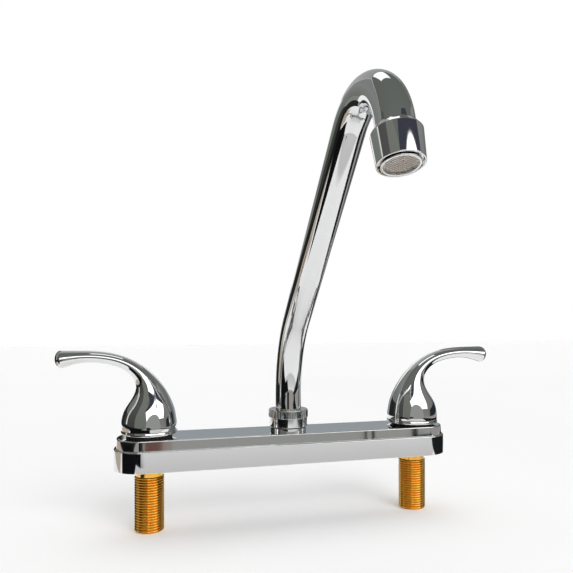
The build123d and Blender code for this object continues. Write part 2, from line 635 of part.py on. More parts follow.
# ------------------------------------------------------------- the assembly
def main():
    """Build every piece and write it under its own name."""
    os.makedirs("parts", exist_ok=True)
    write("deck_plate", deck_plate())
    write("base_gasket", base_gasket())
    write("spout_post", spout_post())
    write("post_lock_ring", post_lock_ring())
    write("coupling_nut", coupling_nut())
    for side, x, turn, screw_side, set_angle, drop in (
            ("hot", -VALVE_X, 180 + HOT_SET, -1, HOT_SET, 0.0),
            ("cold", VALVE_X, -COLD_SET, 1, -COLD_SET, COLD_DROP)):
        write(f"{side}_valve_body", valve_body(x))
        write(f"{side}_cross_tube", cross_tube(x))
        write(f"{side}_plate_nut", plate_nut(x))
        write(f"{side}_cartridge_body", cartridge_body(x))
        write(f"{side}_cartridge_seal", cartridge_seal(x))
        write(f"{side}_cartridge_ring", cartridge_ring(x))
        write(f"{side}_fixed_disc", fixed_disc(x))
        write(f"{side}_moving_disc", moving_disc(x, set_angle))
        write(f"{side}_stem", stem(x, set_angle))
        write(f"{side}_stem_rings", stem_rings(x))
        write(f"{side}_stem_clip", stem_clip(x, set_angle))
        write(f"{side}_handle", handle(x, turn, screw_side, drop))
        write(f"{side}_handle_screw", handle_screw(x, turn, screw_side, drop))
    write("spout_tube", spout_tube())
    write("spout_spigot", spout_spigot())
    write("spout_rings", spout_rings())
    write("split_ring", split_ring())
    write("outlet_collar", outlet_collar())
    write("aerator_washer", aerator_washer())
    write("aerator_body", aerator_body())
    write("aerator_screen", aerator_screen())
    write("aerator_insert", aerator_insert())


main()
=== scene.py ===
"""Two handle kitchen faucet: how its pieces look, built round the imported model.
Metres, +Z up, the user at -Y."""
import bmesh
import bpy
import numpy as np
from math import atan2, cos, hypot, pi, radians, sin, sqrt, tan
from mathutils import Matrix, Vector


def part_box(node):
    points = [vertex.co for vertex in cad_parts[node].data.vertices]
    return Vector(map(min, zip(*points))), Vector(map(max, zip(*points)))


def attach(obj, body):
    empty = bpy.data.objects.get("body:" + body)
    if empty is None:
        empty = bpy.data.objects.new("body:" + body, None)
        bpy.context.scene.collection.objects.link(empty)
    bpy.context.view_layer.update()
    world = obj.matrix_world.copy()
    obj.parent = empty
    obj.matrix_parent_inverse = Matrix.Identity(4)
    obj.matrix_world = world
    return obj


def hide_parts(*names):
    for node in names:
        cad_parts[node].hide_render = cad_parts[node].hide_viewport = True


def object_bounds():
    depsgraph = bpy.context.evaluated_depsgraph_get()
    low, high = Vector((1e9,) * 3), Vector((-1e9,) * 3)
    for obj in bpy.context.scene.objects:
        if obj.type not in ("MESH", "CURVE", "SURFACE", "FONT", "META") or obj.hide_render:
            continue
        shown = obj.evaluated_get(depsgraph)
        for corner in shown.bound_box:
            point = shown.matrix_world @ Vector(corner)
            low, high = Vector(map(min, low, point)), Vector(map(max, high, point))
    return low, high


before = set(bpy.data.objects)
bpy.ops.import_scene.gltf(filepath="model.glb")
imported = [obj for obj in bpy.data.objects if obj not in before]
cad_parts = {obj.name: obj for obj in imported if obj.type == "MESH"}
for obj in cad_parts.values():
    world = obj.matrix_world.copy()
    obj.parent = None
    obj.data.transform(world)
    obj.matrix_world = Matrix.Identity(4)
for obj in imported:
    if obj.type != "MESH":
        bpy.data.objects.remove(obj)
cad_low, cad_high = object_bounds()
MM = 0.001


# ---- Camera: it stands level in front of the left handle, just below half the spout's height. Its
# ---- frame is shifted up rather than tilted, so that upright edges stay upright.
CAMERA_PLACE = (-118.68 * MM, -434.54 * MM, 104.38 * MM)
CAMERA_TURN = radians(-15.11)
PHOTO_SIDE = 573
FOCAL_PIXELS = 600.49
HORIZON_ROW = 319.12
SENSOR = 36.0

bpy.ops.object.select_all(action="DESELECT")
bpy.ops.object.camera_add(location=CAMERA_PLACE, rotation=(pi / 2, 0, CAMERA_TURN))
camera = bpy.context.object
camera.name = "camera"
camera.data.sensor_width = SENSOR
camera.data.lens = SENSOR * FOCAL_PIXELS / PHOTO_SIDE
camera.data.shift_y = (HORIZON_ROW - PHOTO_SIDE / 2) / PHOTO_SIDE
bpy.context.scene.camera = camera
bpy.context.scene.view_settings.view_transform = "Standard"


# ---- Table: a wide pale sheet under the ends of the shanks. It takes the faucet's soft shadow, and
# ---- the rest of its white is its own colour towards the lens and in the metal.
TABLE_Z = cad_low.z
TABLE_REACH = 3.0
PAPER = (0.83, 0.83, 0.83, 1)
PAPER_ROUGHNESS = 0.9
PAPER_SHEEN = 0.1
PAPER_SHOWN = 0.2


def maths(tree, kind, *values):
    """Math node in a node tree, fed with numbers or with other nodes' outputs."""
    node = tree.nodes.new("ShaderNodeMath")
    node.operation = kind
    for socket, value in zip(node.inputs, values):
        if isinstance(value, (int, float)):
            socket.default_value = value
        else:
            tree.links.new(value, socket)
    return node.outputs[0]


def white_to_lens(tree):
    """Factor that is 1 for what the lens, the metal and clear plastic see, and 0 for the light itself."""
    path = tree.nodes.new("ShaderNodeLightPath")
    total = path.outputs["Is Camera Ray"]
    for ray in ("Is Glossy Ray", "Is Transmission Ray"):
        total = maths(tree, "MAXIMUM", total, path.outputs[ray])
    return total


bpy.ops.mesh.primitive_plane_add(size=2 * TABLE_REACH, location=(0, 0, TABLE_Z))
table = bpy.context.object
table.name = "table"
bpy.ops.object.transform_apply(location=True, rotation=True, scale=True)

paper = bpy.data.materials.new("table_paper")
paper.use_nodes = True
tree = paper.node_tree
surface = tree.nodes["Principled BSDF"]
surface.inputs["Base Color"].default_value = PAPER
surface.inputs["Roughness"].default_value = PAPER_ROUGHNESS
surface.inputs["Specular IOR Level"].default_value = PAPER_SHEEN
surface.inputs["Emission Color"].default_value = (1, 1, 1, 1)
shown = maths(tree, "MULTIPLY", white_to_lens(tree), PAPER_SHOWN)
tree.links.new(shown, surface.inputs["Emission Strength"])
table.data.materials.append(paper)


# ---- Studio: a white room with grey, olive and dark boards round the table, a white softbox in
# ---- front and a small one overhead. The metal shows them; lamps behind them give the plain light.
WALL_FOOT = -0.3
WALL_TOP = 1.0
CEILING_Z = 0.95
STAND_REACH = 0.5
# Degrees: where the softbox stands, how high it aims from, and how high the middles of the softbox
# and of the dark cloth over its upper edge are.
SOFTBOX_FROM = 160
SOFTBOX_UP = 37.5
SOFTBOX_MIDDLE = 27.94
CLOTH_MIDDLE = 46.3
SOFTBOX_GLOW = 2.2
TOP_GLOW = 1.3
ROOM_LIGHT = 0.4


def direction(azimuth, elevation):
    """Unit vector: azimuth 0 is behind the faucet, 90 to its right and 180 towards the user."""
    flat = cos(radians(elevation))
    return Vector((sin(radians(azimuth)) * flat, cos(radians(azimuth)) * flat, sin(radians(elevation))))


def card(name, place, width, height, normal, colour, far_colour=None, soft=0.04, round_shape=False):
    """Flat card that only shows in the metal, never to the lens, and takes no light away. Its colour
    runs to far_colour at its upper edge, and its rim fades over the share of its size that soft gives."""
    bpy.ops.object.select_all(action="DESELECT")
    bpy.ops.mesh.primitive_plane_add(size=1)
    board = bpy.context.object
    board.name = name
    turn = normal.to_track_quat("Z", "Y").to_matrix().to_4x4()
    board.matrix_world = Matrix.Translation(place) @ turn @ Matrix.Diagonal((width, height, 1, 1))
    bpy.ops.object.transform_apply(location=True, rotation=True, scale=True)
    board.visible_camera = board.visible_diffuse = board.visible_shadow = False
    skin = bpy.data.materials.new(name)
    skin.use_nodes = True
    tree = skin.node_tree
    nodes, links = tree.nodes, tree.links
    nodes.clear()
    flat = nodes.new("ShaderNodeSeparateXYZ")
    links.new(nodes.new("ShaderNodeTexCoord").outputs["UV"], flat.inputs[0])
    across = maths(tree, "ABSOLUTE", maths(tree, "SUBTRACT", flat.outputs["X"], 0.5))
    upward = maths(tree, "ABSOLUTE", maths(tree, "SUBTRACT", flat.outputs["Y"], 0.5))
    if round_shape:
        squares = (maths(tree, "MULTIPLY", way, way) for way in (across, upward))
        reach = maths(tree, "SQRT", maths(tree, "ADD", *squares))
    else:
        reach = maths(tree, "MAXIMUM", across, upward)
    inside = nodes.new("ShaderNodeMapRange")
    inside.interpolation_type = "SMOOTHSTEP"
    inside.inputs["From Min"].default_value = 0.5
    inside.inputs["From Max"].default_value = 0.5 - soft
    links.new(reach, inside.inputs["Value"])
    tone = nodes.new("ShaderNodeMix")
    tone.data_type = "RGBA"
    tone.inputs["A"].default_value = (*colour, 1)
    tone.inputs["B"].default_value = (*(far_colour or colour), 1)
    links.new(flat.outputs["Y"], tone.inputs["Factor"])
    glow = nodes.new("ShaderNodeEmission")
    links.new(tone.outputs["Result"], glow.inputs["Color"])
    edge = nodes.new("ShaderNodeMixShader")
    out = nodes.new("ShaderNodeOutputMaterial")
    links.new(inside.outputs["Result"], edge.inputs["Fac"])
    links.new(nodes.new("ShaderNodeBsdfTransparent").outputs[0], edge.inputs[1])
    links.new(glow.outputs[0], edge.inputs[2])
    links.new(edge.outputs[0], out.inputs["Surface"])
    board.data.materials.append(skin)


def upright(name, azimuths, distance, low, high, colour, far_colour=None, soft=0.03):
    """Upright card that fills the view between two azimuths, from one height to another."""
    half = radians(azimuths[1] - azimuths[0]) / 2
    toward = direction(sum(azimuths) / 2, 0)
    place = toward * distance + Vector((0, 0, (low + high) / 2))
    card(name, place, 2 * distance * tan(half), high - low, -toward, colour, far_colour, soft)


def lying(name, x_range, y_range, over_table, colour, far_colour=None, soft=0.04):
    """Card that lies a little over the table, with its upper edge to the back."""
    place = Vector((sum(x_range) / 2, sum(y_range) / 2, TABLE_Z + over_table))
    card(name, place, x_range[1] - x_range[0], y_range[1] - y_range[0], Vector((0, 0, 1)),
         colour, far_colour, soft)


def hung(name, x_range, y_range, height, colour, far_colour=None, soft=0.02):
    """Card that hangs level overhead."""
    place = Vector((sum(x_range) / 2, sum(y_range) / 2, height))
    card(name, place, x_range[1] - x_range[0], y_range[1] - y_range[0], Vector((0, 0, -1)),
         colour, far_colour, soft)


# The walls, from behind the faucet's right side round by the front to behind its left side.
upright("wall_right_back", (30, 76), 1.05, WALL_FOOT, WALL_TOP, (0.13, 0.13, 0.135), (0.2, 0.2, 0.2))
upright("wall_right", (72, 123), 1.05, WALL_FOOT, WALL_TOP, (0.17, 0.17, 0.165), (0.26, 0.26, 0.255))
upright("low_right", (55, 112), 0.95, -0.1, 0.16, (0.02, 0.026, 0.035))
upright("wall_front_low", (116, 184), 1.1, WALL_FOOT, 0.32, (0.3, 0.31, 0.28), (0.2, 0.2, 0.185))
upright("wall_front_left", (198, 247), 1.05, WALL_FOOT, WALL_TOP, (0.16, 0.17, 0.145), (0.2, 0.21, 0.185))
upright("wall_left", (243, 284), 1.1, WALL_FOOT, WALL_TOP, (0.05, 0.05, 0.047), (0.1, 0.1, 0.095))
upright("window_slit", (282, 290), 1.12, 0.0, 0.8, (0.75, 0.75, 0.73), soft=0.1)
upright("wall_left_dark", (289, 318), 1.1, WALL_FOOT, 0.3, (0.03, 0.033, 0.026), (0.05, 0.055, 0.045))
upright("wall_left_olive", (314, 346), 1.12, WALL_FOOT, 0.34, (0.2, 0.21, 0.18), (0.25, 0.26, 0.23))
upright("wall_left_high", (289, 346), 1.13, 0.28, 1.1, (0.16, 0.17, 0.15), (0.27, 0.29, 0.28), soft=0.02)
# Narrow stands on the table, which the plate's upper tier and its left end show.
upright("stand_pink", (185.8, 188.2), STAND_REACH, TABLE_Z, 0.01, (0.3, 0.235, 0.22), soft=0.25)
upright("stand_brown", (187.6, 190.8), STAND_REACH - 0.005, TABLE_Z, 0.01, (0.15, 0.08, 0.065), soft=0.12)
upright("stand_black", (190.5, 205), STAND_REACH, TABLE_Z, 0.03, (0.004, 0.004, 0.005))
upright("stand_red", (193.5, 195), STAND_REACH - 0.01, TABLE_Z, 0.02, (0.12, 0.07, 0.05))
for azimuths in ((152.4, 152.9), (151.1, 151.6), (143.8, 144.8)):
    upright("stand_thin", azimuths, STAND_REACH, TABLE_Z, 0.0, (0.01, 0.01, 0.01))
# The ceiling, the two lights, the cloth along the softbox's upper edge and a round board in front.
hung("ceiling_front", (-1.5, 1.5), (-1.5, 0.35), CEILING_Z, (0.16, 0.175, 0.16), (0.13, 0.14, 0.125))
hung("ceiling_left", (-1.5, -0.3), (0.33, 1.5), CEILING_Z, (0.23, 0.245, 0.235))
hung("ceiling_back", (-0.32, 0.64), (0.33, 1.5), CEILING_Z + 0.01, (0.33, 0.34, 0.33), (0.5, 0.5, 0.5))
hung("ceiling_right", (0.62, 1.5), (0.33, 1.5), CEILING_Z, (0.15, 0.16, 0.15))
hung("top_light", (-0.14, 0.14), (-0.07, 0.14), 0.7, (TOP_GLOW, TOP_GLOW, TOP_GLOW), soft=0.08)
toward_softbox = direction(SOFTBOX_FROM, SOFTBOX_UP)
card("softbox", direction(SOFTBOX_FROM, SOFTBOX_MIDDLE) * 0.91, 1.5, 0.482, -toward_softbox,
     (SOFTBOX_GLOW, SOFTBOX_GLOW, SOFTBOX_GLOW), soft=0.03)
card("navy_cloth", direction(SOFTBOX_FROM, CLOTH_MIDDLE) * 0.931, 1.56, 0.124, -toward_softbox,
     (0.05, 0.053, 0.072))
card("grey_dome", Vector((0.07, -0.52, 0.055)), 0.66, 0.4, Vector((0, 1, 0)), (0.33, 0.335, 0.32),
     soft=0.02, round_shape=True)
# What lies round the faucet, each sheet at its own height, and the boards behind it.
lying("ground_left", (-2.0, -0.4), (-2.0, 1.4), 0.003, (0.012, 0.012, 0.012))
lying("ground_front", (-1.2, 1.6), (-2.4, -0.36), 0.002, (0.33, 0.34, 0.32))
lying("ground_right", (0.27, 0.5), (-0.6, 1.0), 0.004, (0.012, 0.013, 0.015), soft=0.02)
lying("ground_far_right", (0.5, 1.2), (-0.7, 0.9), 0.0045, (0.33, 0.31, 0.305))
lying("table_front", (-0.4, 0.6), (-0.37, -0.17), 0.0035, (0.6, 0.59, 0.585), (0.8, 0.8, 0.8), soft=0.1)
lying("black_cloth", (-0.62, -0.098), (-0.42, -0.205), 0.007, (0.006, 0.006, 0.007), soft=0.02)
lying("black_cloth_back", (-0.62, -0.19), (-0.24, -0.02), 0.006, (0.006, 0.006, 0.007), soft=0.02)
upright("board_blue", (-12, 42), 0.52, TABLE_Z, 0.18, (0.32, 0.35, 0.37))
upright("board_dark", (-58, -11), 0.54, TABLE_Z, 0.16, (0.02, 0.022, 0.02))
lying("board_beige", (-0.5, -0.27), (0.0, 0.3), 0.008, (0.5, 0.42, 0.34))


def soft_lamp(name, azimuth, elevation, strength, spread):
    """Broad even light from one side; the metal shows the cards instead of it."""
    bpy.ops.object.light_add(type="SUN", location=direction(azimuth, elevation))
    lamp = bpy.context.object
    lamp.name = name
    lamp.rotation_euler = direction(azimuth, elevation).to_track_quat("Z", "Y").to_euler()
    lamp.data.energy = strength
    lamp.data.angle = radians(spread)
    lamp.visible_glossy = False


soft_lamp("lamp_front", SOFTBOX_FROM, SOFTBOX_UP, 1.5, 40)
soft_lamp("lamp_top", 10, 75, 1.0, 60)

world = bpy.data.worlds.new("white_room")
bpy.context.scene.world = world
world.use_nodes = True
tree = world.node_tree
tree.nodes.clear()
room = tree.nodes.new("ShaderNodeBackground")
room.inputs["Strength"].default_value = ROOM_LIGHT
backdrop = tree.nodes.new("ShaderNodeBackground")
backdrop.inputs["Color"].default_value = (1, 1, 1, 1)
both = tree.nodes.new("ShaderNodeMixShader")
out = tree.nodes.new("ShaderNodeOutputWorld")
tree.links.new(white_to_lens(tree), both.inputs["Fac"])
tree.links.new(room.outputs[0], both.inputs[1])
tree.links.new(backdrop.outputs[0], both.inputs[2])
tree.links.new(both.outputs[0], out.inputs["Surface"])


# ---- Deck plate: a hollow two-tier shell die cast in zinc, polished and chrome plated, open below.
# ---- It drops over the two valves and the spout's post and is clamped down by their nuts.
# A distance too small to see, and the one in metres at which two points are made one.
HAIR = 0.01 * MM
SAME_PLACE = 1e-6
PLATE_CORNER = 18.8 * MM
PLATE_WALL = 2.0 * MM
TIER_Z = 14.6 * MM
TIER_STEP = 1.7 * MM
TIER_LEAN = radians(3.0)
SKIRT_LEAN = radians(0.5)
PLATE_EDGE = 0.9 * MM
NECK_HOLE = 12.7 * MM
POST_HOLE = 12.65 * MM
VALVE_X = 101.6 * MM
CHROME = (0.80, 0.805, 0.81, 1)
# How fine the wiped haze, the specks of dust and the patches they lie in are, per metre, and how
# much the dust dulls the metal and stands up from it.
WIPE_SCALE = 55.0
SPECK_SCALE = 420.0
PATCH_SCALE = 160.0
DUST_DULLS = 0.25
DUST_STANDS = 0.02


def filleted(corners, steps=6):
    """Outline through (radius, height, rounding) corners, with an arc of that size at each."""
    path = []
    for index, (radius, height, size) in enumerate(corners):
        here = Vector((radius, height))
        if size == 0:
            path.append(here)
            continue
        before = (Vector(corners[index - 1][:2]) - here).normalized()
        after = (Vector(corners[(index + 1) % len(corners)][:2]) - here).normalized()
        half = before.angle(after) / 2
        centre = here + (before + after).normalized() * (size / sin(half))
        first, last = (here + side * (size / sin(half) * cos(half)) - centre for side in (before, after))
        turn = atan2(first.x * last.y - first.y * last.x, first.dot(last))
        for step in range(steps + 1):
            angle = turn * step / steps
            path.append(centre + Vector((first.x * cos(angle) - first.y * sin(angle),
                                         first.x * sin(angle) + first.y * cos(angle))))
    return path


def extrude_ring(move, grow=1.0):
    """Draw the selected ring on by one step and open or close it."""
    bpy.ops.mesh.extrude_region_move(TRANSFORM_OT_translate={"value": move})
    if abs(grow - 1) > 1e-9:
        bpy.ops.transform.resize(value=(grow, grow, 1), center_override=(0, 0, 0))


def turned(name, outline, sides=96, hollow=False):
    """Shape drawn ring by ring through an outline of (radius, height) points, as on a lathe.
    A hollow one is a ring whose outline runs round its section; any other is capped at both ends."""
    bpy.ops.object.select_all(action="DESELECT")
    radius, height = outline[0]
    bpy.ops.mesh.primitive_circle_add(vertices=sides, radius=radius, location=(0, 0, 0),
                                      fill_type="NOTHING" if hollow else "NGON", enter_editmode=True)
    bpy.ops.transform.translate(value=(0, 0, height))
    stations = list(outline[1:]) + ([outline[0]] if hollow else [])
    for next_radius, next_height in stations:
        extrude_ring((0, 0, next_height - height), next_radius / radius)
        radius, height = next_radius, next_height
    bpy.ops.mesh.select_all(action="SELECT")
    if hollow:
        bpy.ops.mesh.remove_doubles(threshold=SAME_PLACE)
    bpy.ops.mesh.normals_make_consistent(inside=False)
    bpy.ops.object.mode_set(mode="OBJECT")
    piece = bpy.context.object
    piece.name = name
    return piece


def select_points(test):
    """In edit mode, select the points that pass a test of their place."""
    bpy.ops.mesh.select_all(action="DESELECT")
    points = bmesh.from_edit_mesh(bpy.context.edit_object.data)
    for point in points.verts:
        point.select_set(test(point.co))
    points.select_flush(True)


def only(piece):
    """Make a piece the one selected, active object."""
    bpy.ops.object.select_all(action="DESELECT")
    piece.select_set(True)
    bpy.context.view_layer.objects.active = piece


def cut(piece, tool, kind="DIFFERENCE"):
    """Cut a piece with another shape, which is used up."""
    only(piece)
    knife = piece.modifiers.new("cut", "BOOLEAN")
    knife.operation = kind
    knife.solver = "EXACT"
    knife.object = tool
    bpy.ops.object.modifier_apply(modifier=knife.name)
    bpy.data.objects.remove(tool)


def round_bar(radius, low, high, x):
    """Upright round bar used as a cutting tool."""
    bpy.ops.object.select_all(action="DESELECT")
    bpy.ops.mesh.primitive_cylinder_add(vertices=96, radius=radius, depth=high - low,
                                        location=(x, 0, (low + high) / 2))
    bpy.ops.object.transform_apply(location=True, rotation=True, scale=True)
    return bpy.context.object


def smoothed(piece, angle=32):
    """Smooth the round faces, keep the flat ones flat and the corners crisp."""
    only(piece)
    bpy.ops.object.shade_smooth_by_angle(angle=radians(angle))
    flat = piece.modifiers.new("flat_faces", "WEIGHTED_NORMAL")
    flat.keep_sharp = True
    flat.weight = 80
    bpy.ops.object.modifier_apply(modifier=flat.name)


def fitted(piece, body, node, finish):
    """Give a shaped piece its finish and its body, and hide the CAD node that it stands for."""
    piece.data.materials.clear()
    piece.data.materials.append(finish)
    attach(piece, body)
    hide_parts(node)


def worn_group():
    """Shader group for handled metal: slow waves of the polishing wheel, wiped haze and fine dust."""
    group = bpy.data.node_groups.new("handled_metal", "ShaderNodeTree")
    for label in ("Wave Size", "Wave Height", "Haze", "Dust", "Roughness"):
        group.interface.new_socket(label, in_out="INPUT", socket_type="NodeSocketFloat")
    for label in ("Roughness", "Height", "Grime"):
        group.interface.new_socket(label, in_out="OUTPUT", socket_type="NodeSocketFloat")
    nodes, links = group.nodes, group.links
    inputs = nodes.new("NodeGroupInput").outputs
    place = nodes.new("ShaderNodeTexCoord").outputs["Object"]

    def noise(scale, detail, stretch=(1, 1, 1)):
        mapping = nodes.new("ShaderNodeMapping")
        mapping.inputs["Scale"].default_value = stretch
        links.new(place, mapping.inputs["Vector"])
        node = nodes.new("ShaderNodeTexNoise")
        links.new(mapping.outputs[0], node.inputs["Vector"])
        if isinstance(scale, (int, float)):
            node.inputs["Scale"].default_value = scale
        else:
            links.new(scale, node.inputs["Scale"])
        node.inputs["Detail"].default_value = detail
        return node.outputs["Fac"]

    def band(value, low, high):
        node = nodes.new("ShaderNodeMapRange")
        node.interpolation_type = "SMOOTHSTEP"
        links.new(value, node.inputs["Value"])
        node.inputs["From Min"].default_value = low
        node.inputs["From Max"].default_value = high
        return node.outputs["Result"]

    waves = noise(maths(group, "DIVIDE", 1.0, inputs["Wave Size"]), 1.0)
    wiped = band(noise(WIPE_SCALE, 5.0, (1.0, 1.6, 0.5)), 0.42, 0.78)
    cells = nodes.new("ShaderNodeTexVoronoi")
    links.new(place, cells.inputs["Vector"])
    cells.inputs["Scale"].default_value = SPECK_SCALE
    specks = band(cells.outputs["Distance"], 0.085, 0.045)
    sparse = band(noise(PATCH_SCALE, 2.0), 0.52, 0.62)
    dust = maths(group, "MULTIPLY", maths(group, "MULTIPLY", specks, sparse), inputs["Dust"])
    haze = maths(group, "MULTIPLY", wiped, inputs["Haze"])
    grime = maths(group, "ADD", haze, maths(group, "MULTIPLY", dust, DUST_DULLS))
    roughness = maths(group, "ADD", inputs["Roughness"], grime)
    dust_height = maths(group, "MULTIPLY", dust, DUST_STANDS)
    height = maths(group, "MULTIPLY_ADD", waves, inputs["Wave Height"], dust_height)
    out = nodes.new("NodeGroupOutput").inputs
    links.new(roughness, out["Roughness"])
    links.new(height, out["Height"])
    links.new(grime, out["Grime"])
    return group


HANDLED = worn_group()


def marked(name, colour, grimy, bump, relief_height, **levels):
    """Material of one colour under the marks of handling, at the levels given for the group's inputs;
    grimy is its colour where dust and haze lie. Returns it with its surface shader."""
    skin = bpy.data.materials.new(name)
    skin.use_nodes = True
    nodes, links = skin.node_tree.nodes, skin.node_tree.links
    surface = nodes["Principled BSDF"]
    marks = nodes.new("ShaderNodeGroup")
    marks.node_tree = HANDLED
    for label, level in levels.items():
        marks.inputs[label.replace("_", " ").title()].default_value = level
    tone = nodes.new("ShaderNodeMix")
    tone.data_type = "RGBA"
    tone.inputs["A"].default_value = colour
    tone.inputs["B"].default_value = grimy
    links.new(marks.outputs["Grime"], tone.inputs["Factor"])
    links.new(tone.outputs["Result"], surface.inputs["Base Color"])
    links.new(marks.outputs["Roughness"], surface.inputs["Roughness"])
    relief = nodes.new("ShaderNodeBump")
    relief.inputs["Strength"].default_value = bump
    relief.inputs["Distance"].default_value = relief_height
    links.new(marks.outputs["Height"], relief.inputs["Height"])
    links.new(relief.outputs[0], surface.inputs["Normal"])
    return skin, surface


def metal(name, colour, grimy, roughness, haze=0.04, dust=0.5, wave_size=12 * MM, wave_height=0.2,
          bump=0.02):
    """Solid metal, plated or bare, with slow waves left by polishing."""
    skin, surface = marked(name, colour, grimy, bump, 1 * MM, wave_size=wave_size,
                           wave_height=wave_height, haze=haze, dust=dust, roughness=roughness)
    surface.inputs["Metallic"].default_value = 1.0
    return skin


plate_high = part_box("deck_plate")[1]
PLATE_TOP = plate_high.z
UPPER_CORNER = PLATE_CORNER - TIER_STEP
upper_lean = (PLATE_TOP - TIER_Z) * sin(TIER_LEAN)
skirt_lean = TIER_Z * sin(SKIRT_LEAN)
deck_plate = turned("deck_plate_shell", filleted((
    (UPPER_CORNER - PLATE_WALL - upper_lean, PLATE_TOP - PLATE_WALL, 0),
    (UPPER_CORNER - PLATE_WALL, TIER_Z - PLATE_WALL, 0.4 * MM),
    (PLATE_CORNER - PLATE_WALL - skirt_lean, TIER_Z - PLATE_WALL, 0),
    (PLATE_CORNER - PLATE_WALL, 0, 0.2 * MM),
    (PLATE_CORNER, 0, 0.3 * MM),
    (PLATE_CORNER - skirt_lean, TIER_Z, PLATE_EDGE),
    (UPPER_CORNER, TIER_Z, 0.25 * MM),
    (UPPER_CORNER - upper_lean, PLATE_TOP, PLATE_EDGE),
    (UPPER_CORNER - upper_lean - 2 * PLATE_EDGE, PLATE_TOP, 0),
)), sides=128)

# The four quarters of the turned shape are drawn apart to the plate's length and width.
only(deck_plate)
bpy.ops.object.mode_set(mode="EDIT")
for side in (-1, 1):
    select_points(lambda place: place.x * side > HAIR)
    bpy.ops.transform.translate(value=(side * (plate_high.x - PLATE_CORNER), 0, 0))
    select_points(lambda place: place.y * side > HAIR)
    bpy.ops.transform.translate(value=(0, side * (plate_high.y - PLATE_CORNER), 0))
bpy.ops.object.mode_set(mode="OBJECT")
for x, hole in ((-VALVE_X, NECK_HOLE), (0, POST_HOLE), (VALVE_X, NECK_HOLE)):
    cut(deck_plate, round_bar(hole, PLATE_TOP - 2 * PLATE_WALL, PLATE_TOP + PLATE_WALL, x))
smoothed(deck_plate)
plate_chrome = metal("plate_chrome", CHROME, (0.5, 0.5, 0.49, 1), 0.035, haze=0.05, wave_size=30 * MM,
                     wave_height=0.6)
fitted(deck_plate, "deck", "deck_plate", plate_chrome)


# ---- Coupling nut: a chrome plated brass ring nut that traps the spout on its post. Its upper band
# ---- has fine straight knurls for the fingers, the plain band below it is turned a little smaller.
NUT_R = 14.7 * MM
NUT_PLAIN_R = 14.2 * MM
NUT_BORE = 12.6 * MM
NUT_NECK = 9.75 * MM
NUT_SHOULDER = 2.0 * MM
KNURL_FROM = 31.3 * MM
KNURLS = 72
KNURL_DEPTH = 0.28 * MM
KNURL_RUNOUT = 0.2 * MM
LOW_RIM = 0.3 * MM
TOP_RIM = 0.8 * MM
POINTS_PER_KNURL = 4

nut_low, nut_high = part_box("coupling_nut")


def around(place, count):
    """Which of the equal steps round the upright axis a point is on."""
    return round(atan2(place.y, place.x) / (2 * pi) * count)


coupling_nut = turned("coupling_ring", filleted((
    (NUT_BORE, nut_low.z, 0.3 * MM),
    (NUT_PLAIN_R, nut_low.z, 0.5 * MM),
    (NUT_PLAIN_R, KNURL_FROM, 0),
    (NUT_R - KNURL_DEPTH, KNURL_FROM, 0.1 * MM),
    (NUT_R - KNURL_DEPTH, KNURL_FROM + LOW_RIM, 0),
    (NUT_R, KNURL_FROM + LOW_RIM + KNURL_RUNOUT, 0),
    (NUT_R, nut_high.z - TOP_RIM - KNURL_RUNOUT, 0),
    (NUT_R - KNURL_DEPTH, nut_high.z - TOP_RIM, 0),
    (NUT_R - KNURL_DEPTH, nut_high.z, 0.35 * MM),
    (NUT_NECK, nut_high.z, 0.25 * MM),
    (NUT_NECK, nut_high.z - NUT_SHOULDER, 0),
    (NUT_BORE, nut_high.z - NUT_SHOULDER, 0),
), steps=4), sides=KNURLS * POINTS_PER_KNURL, hollow=True)
only(coupling_nut)
bpy.ops.object.mode_set(mode="EDIT")
select_points(lambda place: hypot(place.x, place.y) > NUT_R - HAIR
              and around(place, KNURLS * POINTS_PER_KNURL) % POINTS_PER_KNURL in (0, 1))
groove = 1 - KNURL_DEPTH / NUT_R
bpy.ops.transform.resize(value=(groove, groove, 1), center_override=(0, 0, 0))
bpy.ops.object.mode_set(mode="OBJECT")
smoothed(coupling_nut)
nut_chrome = metal("nut_chrome", CHROME, (0.42, 0.42, 0.4, 1), 0.06, haze=0.08, dust=1.0)
fitted(coupling_nut, "deck", "coupling_nut", nut_chrome)


# ---- Lock ring: a thin ring nut of polished, chrome plated brass, run down the post on to the plate.
# ---- It shows as a bright line in the dark gap under the coupling nut.
LOCK_RING_R = 13.4 * MM

ring_low, ring_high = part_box("post_lock_ring")
lock_ring = turned("lock_ring", filleted((
    (NUT_BORE, ring_low.z, 0),
    (LOCK_RING_R, ring_low.z, 0.1 * MM),
    (LOCK_RING_R, ring_high.z, 0.3 * MM),
    (NUT_BORE, ring_high.z, 0.15 * MM),
), steps=4), hollow=True)
smoothed(lock_ring)
fitted(lock_ring, "deck", "post_lock_ring", nut_chrome)


# ---- Spout tube: a drawn brass tube, chrome plated outside, bent in one upright plane: straight up,
# ---- forward in a wide bend, straight, and over in the hook. Its foot is brazed to the spigot.
TUBE_R = 9.45 * MM
TUBE_WALL = 1.0 * MM
RISE_Z = 48.3 * MM
LEAN_ANGLE = radians(44.7)
LEAN_RADIUS = 78.6 * MM
LEAN_LENGTH = 147.4 * MM
HOOK_RADIUS = 34.4 * MM
HOOK_TURN = radians(118.0)
END_LENGTH = 22.3 * MM
TUBE_SHORT = 11.3 * MM
LEAN_STEPS = 36
HOOK_STEPS = 80

tube_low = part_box("spout_tube")[0]
bpy.ops.object.select_all(action="DESELECT")
bpy.ops.mesh.primitive_circle_add(vertices=96, radius=TUBE_R, location=(0, 0, 0), fill_type="NOTHING",
                                  enter_editmode=True)
bpy.ops.transform.translate(value=(0, 0, tube_low.z))
extrude_ring((0, 0, RISE_Z - tube_low.z))


